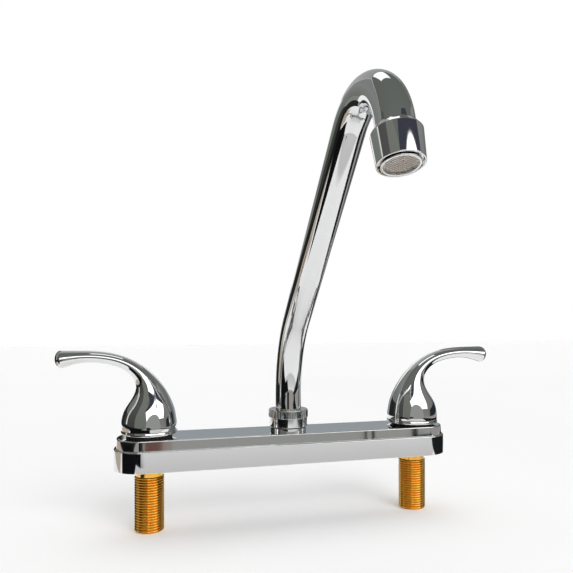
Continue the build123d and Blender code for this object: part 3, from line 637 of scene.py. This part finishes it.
def bend(along, height, heading, radius, turn, steps):
    """Bend the tube's open end forward; returns where it then is and where it points."""
    centre = (along + radius * cos(heading), height - radius * sin(heading))
    bpy.ops.mesh.spin(steps=steps, angle=turn, center=(0, -centre[0], centre[1]), axis=(-1, 0, 0))
    stop = heading + turn
    return centre[0] - radius * cos(stop), centre[1] + radius * sin(stop), stop


def straight(along, height, heading, length):
    """Draw the tube's open end straight on."""
    step = (length * sin(heading), length * cos(heading))
    extrude_ring((0, -step[0], step[1]))
    return along + step[0], height + step[1], heading


lean_start = bend(0, RISE_Z, 0, LEAN_RADIUS, LEAN_ANGLE, LEAN_STEPS)
lean_end = straight(*lean_start, LEAN_LENGTH)
hook_end = bend(*lean_end, HOOK_RADIUS, HOOK_TURN, HOOK_STEPS)
straight(*hook_end, END_LENGTH - TUBE_SHORT)
bpy.ops.mesh.select_all(action="SELECT")
bpy.ops.mesh.remove_doubles(threshold=SAME_PLACE)
bpy.ops.mesh.normals_make_consistent(inside=False)
bpy.ops.object.mode_set(mode="OBJECT")
spout = bpy.context.object
spout.name = "spout_pipe"
wall = spout.modifiers.new("wall", "SOLIDIFY")
wall.thickness = TUBE_WALL
wall.offset = -1
bpy.ops.object.modifier_apply(modifier=wall.name)
smoothed(spout, 60)
tube_chrome = metal("tube_chrome", CHROME, (0.5, 0.5, 0.5, 1), 0.03, haze=0.035, wave_size=22 * MM,
                    wave_height=0.35)
fitted(spout, "spout", "spout_tube", tube_chrome)


# ---- Outlet collar: the thick turned end of the spout, brazed on and plated with it. It tapers a
# ---- little to its mouth, has a long chamfer where it meets the tube and a bore for the aerator.
COLLAR_R = 12.25 * MM
COLLAR_MOUTH_R = 11.35 * MM
COLLAR_BORE = 10.5 * MM
COLLAR_LENGTH = 18.7 * MM
COLLAR_CHAMFER = 3.2 * MM
COLLAR_LIP = 0.65 * MM
BRAZE_GAP = 0.05 * MM
WASHER_TOP = 11.3 * MM

along, height, heading = hook_end
outlet = Vector((0, -along - END_LENGTH * sin(heading), height + END_LENGTH * cos(heading)))
outlet_axis = Vector((0, sin(heading), -cos(heading)))
outlet_turn = Vector((0, 0, 1)).rotation_difference(outlet_axis).to_matrix().to_4x4()
AT_OUTLET = Matrix.Translation(outlet) @ outlet_turn


def at_outlet(piece):
    """Set a shape, made upright at the origin, onto the outlet with its axis up the spout."""
    only(piece)
    piece.matrix_world = AT_OUTLET
    bpy.ops.object.transform_apply(location=True, rotation=True, scale=True)


collar = turned("outlet_sleeve", filleted((
    (COLLAR_BORE, 0, 0.2 * MM),
    (COLLAR_MOUTH_R, 0, 0.3 * MM),
    (COLLAR_R, COLLAR_LENGTH - COLLAR_CHAMFER, 0.6 * MM),
    (TUBE_R + COLLAR_LIP, COLLAR_LENGTH, 0.3 * MM),
    (TUBE_R + BRAZE_GAP, COLLAR_LENGTH, 0),
    (TUBE_R + BRAZE_GAP, WASHER_TOP, 0),
    (COLLAR_BORE, WASHER_TOP, 0),
)), sides=128, hollow=True)
at_outlet(collar)
smoothed(collar)
fitted(collar, "spout", "outlet_collar", tube_chrome)


# ---- Aerator body: the plated ring that screws into the collar and holds the screen. Only its nose
# ---- shows, a hair proud of the collar's mouth, with a dark gap round it.
NOSE_R = 9.4 * MM
NOSE_BORE = 8.1 * MM
AERATOR_R = 10.45 * MM
AERATOR_BORE = 8.7 * MM
NOSE_FOOT = -0.7 * MM
NOSE_TOP = 1.9 * MM
SCREEN_SEAT = 0.5 * MM
AERATOR_TOP = 9.3 * MM

aerator = turned("aerator_ring", filleted((
    (NOSE_BORE, NOSE_FOOT, 0.25 * MM),
    (NOSE_R, NOSE_FOOT, 0.4 * MM),
    (NOSE_R, NOSE_TOP, 0),
    (AERATOR_R, NOSE_TOP, 0.2 * MM),
    (AERATOR_R, AERATOR_TOP, 0.2 * MM),
    (AERATOR_BORE, AERATOR_TOP, 0),
    (AERATOR_BORE, SCREEN_SEAT, 0),
    (NOSE_BORE, SCREEN_SEAT, 0),
)), sides=96, hollow=True)
at_outlet(aerator)
smoothed(aerator)
fitted(aerator, "spout", "aerator_body", nut_chrome)


# ---- Aerator screen: two rounds of woven stainless wire cloth laid in the ring's nose: a coarse one
# ---- that shows, and a fine one behind it painted dark brown as shade in the nose. Its wires run aslant.
SCREEN_R = 8.6 * MM
WEAVE_TURN = radians(24)
COARSE = {"pitch": 1.25 * MM, "wire_r": 0.24 * MM, "wave": 0.12 * MM, "middle": 0.95 * MM, "facets": 1}
FINE = {"pitch": 0.5 * MM, "wire_r": 0.13 * MM, "wave": 0.09 * MM, "middle": 1.65 * MM, "facets": 0}
# A wire's curve swings less than its points do, so they stand this much further out.
WAVE_POINTS_OUT = 1.6
# Painted shade: past this depth up the spout the wires turn dark brown, for the shade behind the front
# wires.
PAINTED_SHADE_FROM = 1.34 * MM
PAINTED_SHADE_EDGE = 0.08 * MM
PAINTED_SHADE_BROWN = (0.04, 0.028, 0.018, 1)


def wire_cloth(pitch, wire_r, wave, middle, facets):
    """Round of plain weave: each wire runs over and under its neighbours, cut off at the rim."""
    bpy.ops.object.select_all(action="DESELECT")
    cloth = bpy.data.curves.new("aerator_cloth", "CURVE")
    cloth.dimensions = "3D"
    cloth.bevel_depth = wire_r
    cloth.bevel_resolution = facets
    cloth.use_fill_caps = True
    reach = int(SCREEN_R / pitch)
    for warp in (True, False):
        for lane in range(-reach, reach + 1):
            chord = sqrt(max(0, SCREEN_R ** 2 - (lane * pitch) ** 2)) - wire_r / 2
            crossings = int(chord / pitch)
            if crossings < 1:
                continue
            stops = [-chord] + [step * pitch for step in range(-crossings, crossings + 1)] + [chord]
            strand = cloth.splines.new("NURBS")
            strand.points.add(len(stops) - 1)
            for index, stop in enumerate(stops):
                over = 1 if (index + crossings + lane + warp) % 2 else -1
                height = over * wave * WAVE_POINTS_OUT if abs(stop) < chord else 0
                flat = (stop, lane * pitch) if warp else (lane * pitch, stop)
                strand.points[index].co = (*flat, height, 1)
            strand.order_u = 4
            strand.use_endpoint_u = True
            strand.resolution_u = 3
    piece = bpy.data.objects.new("aerator_cloth", cloth)
    bpy.context.scene.collection.objects.link(piece)
    only(piece)
    bpy.ops.object.convert(target="MESH")
    piece = bpy.context.object
    weave_turn = Matrix.Rotation(WEAVE_TURN, 4, "Z")
    piece.matrix_world = AT_OUTLET @ Matrix.Translation((0, 0, middle)) @ weave_turn
    bpy.ops.object.transform_apply(location=True, rotation=True, scale=True)
    bpy.ops.object.shade_smooth()
    return piece


def shaded_behind(skin, depth, colour):
    """Painted shade: turn a material to a dark colour past a depth up the spout from its mouth."""
    nodes, links = skin.node_tree.nodes, skin.node_tree.links
    surface = nodes["Principled BSDF"]
    clean = surface.inputs["Base Color"].links[0].from_socket
    place = nodes.new("ShaderNodeVectorMath")
    place.operation = "SUBTRACT"
    links.new(nodes.new("ShaderNodeTexCoord").outputs["Object"], place.inputs[0])
    place.inputs[1].default_value = outlet
    along_axis = nodes.new("ShaderNodeVectorMath")
    along_axis.operation = "DOT_PRODUCT"
    links.new(place.outputs["Vector"], along_axis.inputs[0])
    along_axis.inputs[1].default_value = outlet_axis
    shade_mask = nodes.new("ShaderNodeMapRange")
    shade_mask.inputs["From Min"].default_value = depth
    shade_mask.inputs["From Max"].default_value = depth + PAINTED_SHADE_EDGE
    links.new(along_axis.outputs["Value"], shade_mask.inputs["Value"])
    tone = nodes.new("ShaderNodeMix")
    tone.data_type = "RGBA"
    links.new(shade_mask.outputs["Result"], tone.inputs["Factor"])
    links.new(clean, tone.inputs["A"])
    tone.inputs["B"].default_value = colour
    links.new(tone.outputs["Result"], surface.inputs["Base Color"])


screen = wire_cloth(**COARSE)
fine_cloth = wire_cloth(**FINE)
only(screen)
fine_cloth.select_set(True)
bpy.ops.object.join()
wire_steel = metal("wire_steel", (0.95, 0.88, 0.8, 1), (0.5, 0.4, 0.3, 1), 0.25, haze=0.15, dust=0.3)
# The fine cloth behind takes the painted shade's dark brown.
shaded_behind(wire_steel, PAINTED_SHADE_FROM, PAINTED_SHADE_BROWN)
fitted(screen, "spout", "aerator_screen", wire_steel)


# ---- Valve bodies: one brass casting on each side, left bare. The shank has a straight half inch
# ---- pipe thread for the supply nut, the barrel hides in the plate and the neck stands through it.
SHANK_R = 10.4 * MM
SHANK_CHAMFER = 1.3 * MM
SHANK_STEP = 0.5 * MM
RELIEF_R = 9.5 * MM
RELIEF_Z = -5.4 * MM
INLET_R = 6.5 * MM
SEAT_Z = 3.0 * MM
BARREL_R = 15.0 * MM
BARREL_FLOOR = 1.9 * MM
NECK_R = 12.6 * MM
VALVE_BORE = 10.2 * MM
CROSS_SOCKET_R = 4.8 * MM
CROSS_SOCKET_Z = 11.65 * MM
# The casting is made of two shapes that overlap: the upper one's core reaches down inside the shank.
CORE_R = RELIEF_R - 0.5 * MM
CORE_DEPTH = 5 * MM
CORE_LAP = 0.2 * MM
SIDES = (("hot", -VALVE_X), ("cold", VALVE_X))

valve_low, valve_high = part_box("hot_valve_body")
valve = turned("valve_casting", filleted((
    (INLET_R, RELIEF_Z - CORE_DEPTH, 0),
    (CORE_R, RELIEF_Z - CORE_DEPTH, 0),
    (CORE_R, RELIEF_Z - CORE_LAP, 0),
    (RELIEF_R, RELIEF_Z - CORE_LAP, 0),
    (RELIEF_R, BARREL_FLOOR, 0.4 * MM),
    (BARREL_R, BARREL_FLOOR, 0.4 * MM),
    (BARREL_R, PLATE_TOP - PLATE_WALL, 0.3 * MM),
    (NECK_R, PLATE_TOP - PLATE_WALL, 0),
    (NECK_R, valve_high.z, 0.4 * MM),
    (VALVE_BORE, valve_high.z, 0.3 * MM),
    (VALVE_BORE, SEAT_Z, 0),
    (INLET_R, SEAT_Z, 0),
), steps=3), sides=96, hollow=True)
blank = turned("shank_blank", filleted((
    (INLET_R, valve_low.z, 0.5 * MM),
    (SHANK_R - SHANK_CHAMFER, valve_low.z, 0.15 * MM),
    (SHANK_R, valve_low.z + SHANK_CHAMFER, 0.15 * MM),
    (SHANK_R, RELIEF_Z - SHANK_STEP, 0.1 * MM),
    (RELIEF_R, RELIEF_Z, 0),
    (INLET_R, RELIEF_Z, 0),
), steps=3), sides=96, hollow=True)

# The thread is one rounded ridge wound up the shank: a wavy edge turned once round, a pitch higher
# at its end, and trimmed level a little past both ends of the shank. The edge is drawn up from the
# one corner that is kept of a plane. Its crests are broader than its roots, with a power under 1.
THREAD_PITCH = 1.814 * MM
THREAD_ROOT = 9.52 * MM
THREAD_TURNS = 26
THREAD_SIDES = 64
THREAD_LEAD_IN = 1.6
THREAD_START = valve_low.z - THREAD_LEAD_IN * THREAD_PITCH
THREAD_PAST = 0.3 * MM
RIDGE_POINTS = 8
CREST_POWER = 0.8
CORNER = 0.5
bpy.ops.object.select_all(action="DESELECT")
bpy.ops.mesh.primitive_plane_add(size=2 * CORNER, enter_editmode=True)
select_points(lambda place: place.x + place.y > -CORNER)
bpy.ops.mesh.delete(type="VERT")
bpy.ops.mesh.select_all(action="SELECT")
bpy.ops.transform.translate(value=(CORNER + SHANK_R, CORNER, THREAD_START))
ridge_r = SHANK_R
for step in range(1, THREAD_TURNS * RIDGE_POINTS + 1):
    crest = (0.5 + 0.5 * cos(2 * pi * step / RIDGE_POINTS)) ** CREST_POWER
    next_r = THREAD_ROOT + (SHANK_R - THREAD_ROOT) * crest
    bpy.ops.mesh.extrude_region_move(TRANSFORM_OT_translate={
        "value": (next_r - ridge_r, 0, THREAD_PITCH / RIDGE_POINTS)})
    ridge_r = next_r
bpy.ops.object.mode_set(mode="OBJECT")
thread = bpy.context.object
helix = thread.modifiers.new("helix", "SCREW")
helix.axis = "Z"
helix.angle = 2 * pi
helix.screw_offset = THREAD_PITCH
helix.steps = helix.render_steps = THREAD_SIDES
bpy.ops.object.modifier_apply(modifier=helix.name)
bpy.ops.object.mode_set(mode="EDIT")
bpy.ops.mesh.select_all(action="SELECT")
bpy.ops.mesh.remove_doubles(threshold=HAIR)
for level, keep_above in ((valve_low.z - THREAD_PAST, True), (RELIEF_Z + THREAD_PAST, False)):
    bpy.ops.mesh.select_all(action="SELECT")
    bpy.ops.mesh.bisect(plane_co=(0, 0, level), plane_no=(0, 0, 1), use_fill=True,
                        clear_inner=keep_above, clear_outer=not keep_above)
bpy.ops.mesh.select_all(action="SELECT")
bpy.ops.mesh.normals_make_consistent(inside=False)
bpy.ops.object.mode_set(mode="OBJECT")
cut(blank, thread, "INTERSECT")
cut(valve, blank, "UNION")


def copied(piece, name, across):
    """Another piece of the same pattern, moved along the plate, with its own mesh."""
    twin = piece.copy()
    twin.data = piece.data.copy()
    twin.name = twin.data.name = name
    bpy.context.scene.collection.objects.link(twin)
    twin.location = (across, 0, 0)
    only(twin)
    bpy.ops.object.transform_apply(location=True, rotation=True, scale=True)
    return twin


bare_brass = metal("bare_brass", (0.96, 0.52, 0.09, 1), (0.42, 0.16, 0.02, 1), 0.13, haze=0.15, dust=0.3,
                   wave_size=3 * MM, wave_height=0.4, bump=0.03)
for side, across in SIDES:
    casting = copied(valve, f"{side}_valve_casting", across)
    inner_wall = across - BARREL_R * across / abs(across)
    bpy.ops.object.select_all(action="DESELECT")
    bpy.ops.mesh.primitive_cylinder_add(vertices=48, radius=CROSS_SOCKET_R, depth=BARREL_R,
                                        location=(inner_wall, 0, CROSS_SOCKET_Z), rotation=(0, pi / 2, 0))
    bpy.ops.object.transform_apply(location=True, rotation=True, scale=True)
    cut(casting, bpy.context.object)
    smoothed(casting, 35)
    fitted(casting, "deck", f"{side}_valve_body", bare_brass)
bpy.data.objects.remove(valve)


# ---- Plate nuts: round lock nuts run down each valve's neck on to the plate, coloured near black as
# ---- painted shade for the dark gap under the handles, where only their upright teeth show.
LOCK_NUT_R = 16.0 * MM
LOCK_NUT_BORE = NECK_R + 0.05 * MM
LOCK_NUT_TEETH = 36
TOOTH_DEPTH = 0.6 * MM
POINTS_PER_TOOTH = 4
GRAIN_SIZE = 0.7 * MM


def moulded(name, colour, dusty, roughness, bump=0.1):
    """Moulded plastic, rubber or ceramic: its colour under a faint grain and settled dust."""
    skin, surface = marked(name, colour, dusty, bump, 0.1 * MM, wave_size=GRAIN_SIZE, wave_height=0.4,
                           haze=0.5, dust=1.2, roughness=roughness)
    surface.inputs["Specular IOR Level"].default_value = 0.45
    return skin


lock_low, lock_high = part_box("hot_plate_nut")
lock_nut = turned("lock_nut", filleted((
    (LOCK_NUT_BORE, lock_low.z, 0.3 * MM),
    (LOCK_NUT_R, lock_low.z, 0.3 * MM),
    (LOCK_NUT_R, lock_high.z, 0.5 * MM),
    (LOCK_NUT_BORE, lock_high.z, 0.3 * MM),
), steps=3), sides=LOCK_NUT_TEETH * POINTS_PER_TOOTH, hollow=True)
only(lock_nut)
bpy.ops.object.mode_set(mode="EDIT")
select_points(lambda place: hypot(place.x, place.y) > LOCK_NUT_R - TOOTH_DEPTH
              and around(place, LOCK_NUT_TEETH * POINTS_PER_TOOTH) % POINTS_PER_TOOTH in (0, 1))
between_teeth = 1 - TOOTH_DEPTH / LOCK_NUT_R
bpy.ops.transform.resize(value=(between_teeth, between_teeth, 1), center_override=(0, 0, 0))
bpy.ops.object.mode_set(mode="OBJECT")
# Painted shade: the nuts are coloured near black so that the gap under the handles reads dark.
black_nylon = moulded("black_nylon", (0.012, 0.012, 0.013, 1), (0.05, 0.05, 0.048, 1), 0.42)
for side, across in SIDES:
    nut = copied(lock_nut, f"{side}_lock_nut", across)
    smoothed(nut)
    fitted(nut, "deck", f"{side}_plate_nut", black_nylon)
bpy.data.objects.remove(lock_nut)


# ---- Handles: swan-neck levers cast in zinc, hollow under the skirt, polished and chrome plated.
# ---- Each is pushed on to the toothed stem and held by a socket set screw from the back.
RIM_Z = 24.5 * MM
LIP_R = 19.6 * MM
SOCKET_HOLE_R = 4.2 * MM
SOCKET_TOP_Z = 48.1 * MM
SCREW_HOLE_R = 2.55 * MM
SCREW_HOLE_DEPTH = 19.4 * MM
SCREW_Z = 42.6 * MM
HOT_TURN = radians(180)
COLD_TURN = radians(-3)
COLD_DROP = 0.9 * MM
HANDLE_SIDES = 96
# The hollow's radius and height from the top of the socket for the stem down to the rim.
HOLLOW = (
    (SOCKET_HOLE_R, SOCKET_TOP_Z),
    (SOCKET_HOLE_R, 38.8 * MM),
    (12.9 * MM, 38.8 * MM),
    (15.5 * MM, 33.8 * MM),
    (17.1 * MM, 28.9 * MM),
    (17.1 * MM, RIM_Z),
)
# The rolled lip in mm: height over the rim, and how far it stays inside its widest radius.
ROLLED_LIP = ((0, 0.5), (0.08, 0.15), (0.3, 0), (1.0, 0), (1.45, 0.06), (1.9, 0.3))
# Sections of the skirt and the lever, in mm and degrees: distance out, height over the rim, lean of
# the section from level, half thickness and half width. The domed tip then bulges out in mm.
LEVER_SECTIONS = (
    (0.0, 2.4, 0, 19.2, 19.2),
    (0.0, 5.0, 0, 19.3, 19.3),
    (0.1, 9.5, 0, 18.9, 18.8),
    (-0.3, 16.0, 0, 17.3, 17.3),
    (-1.0, 23.5, 2, 13.6, 14.2),
    (-0.1, 31.0, 8, 9.7, 11.0),
    (5.0, 40.1, 31, 6.1, 8.2),
    (16.3, 48.9, 67, 4.4, 6.8),
    (32.5, 53.5, 84, 4.1, 6.9),
    (46.5, 54.0, 90, 4.4, 7.4),
    (58.6, 52.5, 94, 6.1, 8.6),
)
SECTIONS_BETWEEN = 6
TIP_BULGE = 4.1
TIP_SECTIONS = 8


def fair_sections(rows, between):
    """Rows on one smooth curve through the given ones (a natural cubic spline over their spacing)."""
    rows = np.array(rows, float)
    knots = np.concatenate(([0], np.cumsum(np.hypot(*(np.diff(rows[:, :2], axis=0).T)))))
    gaps = np.diff(knots)
    count = len(rows)
    system = np.eye(count)
    slopes = np.zeros_like(rows)
    for i in range(1, count - 1):
        system[i, i - 1:i + 2] = gaps[i - 1], 2 * (gaps[i - 1] + gaps[i]), gaps[i]
        slopes[i] = 6 * ((rows[i + 1] - rows[i]) / gaps[i] - (rows[i] - rows[i - 1]) / gaps[i - 1])
    curve = np.linalg.solve(system, slopes)
    made = [rows[0]]
    for i, gap in enumerate(gaps):
        for step in range(1, between + 1):
            far = gap * step / between
            near = gap - far
            made.append((curve[i] * near ** 3 + curve[i + 1] * far ** 3) / (6 * gap)
                        + (rows[i] / gap - curve[i] * gap / 6) * near
                        + (rows[i + 1] / gap - curve[i + 1] * gap / 6) * far)
    return [tuple(row) for row in made]


def handle_sections():
    """Every section of the handle, from the socket's end down the hollow, round the rim and out."""
    inside = [(0, (height - RIM_Z) / MM, 0, radius / MM, radius / MM) for radius, height in HOLLOW]
    lip = LIP_R / MM
    rolled = [(0, over, 0, lip - inset, lip - inset) for over, inset in ROLLED_LIP]
    outside = fair_sections(LEVER_SECTIONS, SECTIONS_BETWEEN)
    out, over, lean, thick, wide = outside[-1]
    tip = []
    for index in range(1, TIP_SECTIONS):
        angle = pi / 2 * index / TIP_SECTIONS
        tip.append((out + TIP_BULGE * sin(angle) * sin(radians(lean)),
                    over + TIP_BULGE * sin(angle) * cos(radians(lean)), lean,
                    thick * cos(angle), wide * cos(angle)))
    return inside + rolled + outside + tip


bpy.ops.object.select_all(action="DESELECT")
sections = handle_sections()
out, over, lean, thick, wide = sections[0]
bpy.ops.mesh.primitive_circle_add(vertices=HANDLE_SIDES, radius=thick * MM, location=(0, 0, 0),
                                  fill_type="NGON", enter_editmode=True)
bpy.ops.transform.translate(value=(0, 0, RIM_Z + over * MM))
for section in sections[1:]:
    bpy.ops.mesh.extrude_region_move(TRANSFORM_OT_translate={
        "value": ((section[0] - out) * MM, 0, (section[1] - over) * MM)})
    here = (section[0] * MM, 0, RIM_Z + section[1] * MM)
    bpy.ops.transform.rotate(value=radians(lean), orient_axis="Y", center_override=here)
    bpy.ops.transform.resize(value=(section[3] / thick, section[4] / wide, 1), center_override=here)
    out, over, lean, thick, wide = section
    bpy.ops.transform.rotate(value=-radians(lean), orient_axis="Y", center_override=here)
bpy.ops.mesh.select_all(action="SELECT")
bpy.ops.mesh.normals_make_consistent(inside=False)
bpy.ops.object.mode_set(mode="OBJECT")
lever = bpy.context.object
handle_chrome = metal("handle_chrome", CHROME, (0.5, 0.5, 0.5, 1), 0.03, haze=0.04, wave_size=16 * MM,
                      wave_height=0.3)
for side, across, turn, drop in (("hot", -VALVE_X, HOT_TURN, 0), ("cold", VALVE_X, COLD_TURN, COLD_DROP)):
    handle = lever.copy()
    handle.data = lever.data.copy()
    handle.name = handle.data.name = f"{side}_lever"
    bpy.context.scene.collection.objects.link(handle)
    only(handle)
    handle.matrix_world = Matrix.Translation((across, 0, -drop)) @ Matrix.Rotation(turn, 4, "Z")
    bpy.ops.object.transform_apply(location=True, rotation=True, scale=True)
    # The set screw's hole runs from the stem's axis to the back, square to the lever.
    back = turn if side == "cold" else turn + pi
    bpy.ops.object.select_all(action="DESELECT")
    bpy.ops.mesh.primitive_cylinder_add(vertices=48, radius=SCREW_HOLE_R, depth=SCREW_HOLE_DEPTH)
    drill = bpy.context.object
    drill.matrix_world = (Matrix.Translation((across, 0, SCREW_Z - drop))
                          @ Matrix.Rotation(back, 4, "Z") @ Matrix.Rotation(-pi / 2, 4, "X")
                          @ Matrix.Translation((0, 0, SCREW_HOLE_DEPTH / 2)))
    bpy.ops.object.transform_apply(location=True, rotation=True, scale=True)
    cut(handle, drill)
    smoothed(handle, 38)
    fitted(handle, f"{side}_lever", f"{side}_handle", handle_chrome)
bpy.data.objects.remove(lever)


# ---- Inner pieces: all that is left, such as the cartridges, stems, cross tubes, seals, the post and
# ---- the gasket, stays as the CAD made it, each in the finish of its own material. The post shows in
# ---- the dark gap under the coupling nut, and its brass is painted nearly black there as shade.
inner_finish = {
    "cast_brass": metal("machined_brass", (0.72, 0.47, 0.17, 1), (0.4, 0.24, 0.09, 1), 0.28, haze=0.25),
    "tube_copper": metal("drawn_copper", (0.8, 0.42, 0.27, 1), (0.32, 0.14, 0.08, 1), 0.3, haze=0.5,
                         dust=0.3),
    "seal_rubber": moulded("black_rubber", (0.02, 0.02, 0.02, 1), (0.09, 0.09, 0.085, 1), 0.6),
    "soft_gasket": moulded("grey_gasket", (0.10, 0.10, 0.105, 1), (0.2, 0.2, 0.19, 1), 0.75, bump=0.35),
    "disc_ceramic": moulded("white_ceramic", (0.82, 0.81, 0.78, 1), (0.7, 0.68, 0.64, 1), 0.12),
    "white_acetal": moulded("white_acetal", (0.72, 0.71, 0.68, 1), (0.6, 0.58, 0.54, 1), 0.35),
    "screen_steel": metal("screw_steel", (0.58, 0.57, 0.55, 1), (0.25, 0.24, 0.23, 1), 0.22, haze=0.3),
}
# Painted shade: the post's brass is coloured nearly black for the shade of the gap under the coupling
# nut.
post_brass_painted_shade = metal("post_brass_painted_shade", (0.09, 0.07, 0.045, 1), (0.05, 0.045, 0.04, 1), 0.45, haze=0.5)
for name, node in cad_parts.items():
    if not node.hide_render:
        slot = node.material_slots[0]
        slot.material = post_brass_painted_shade if name == "spout_post" else inner_finish[slot.material.name]
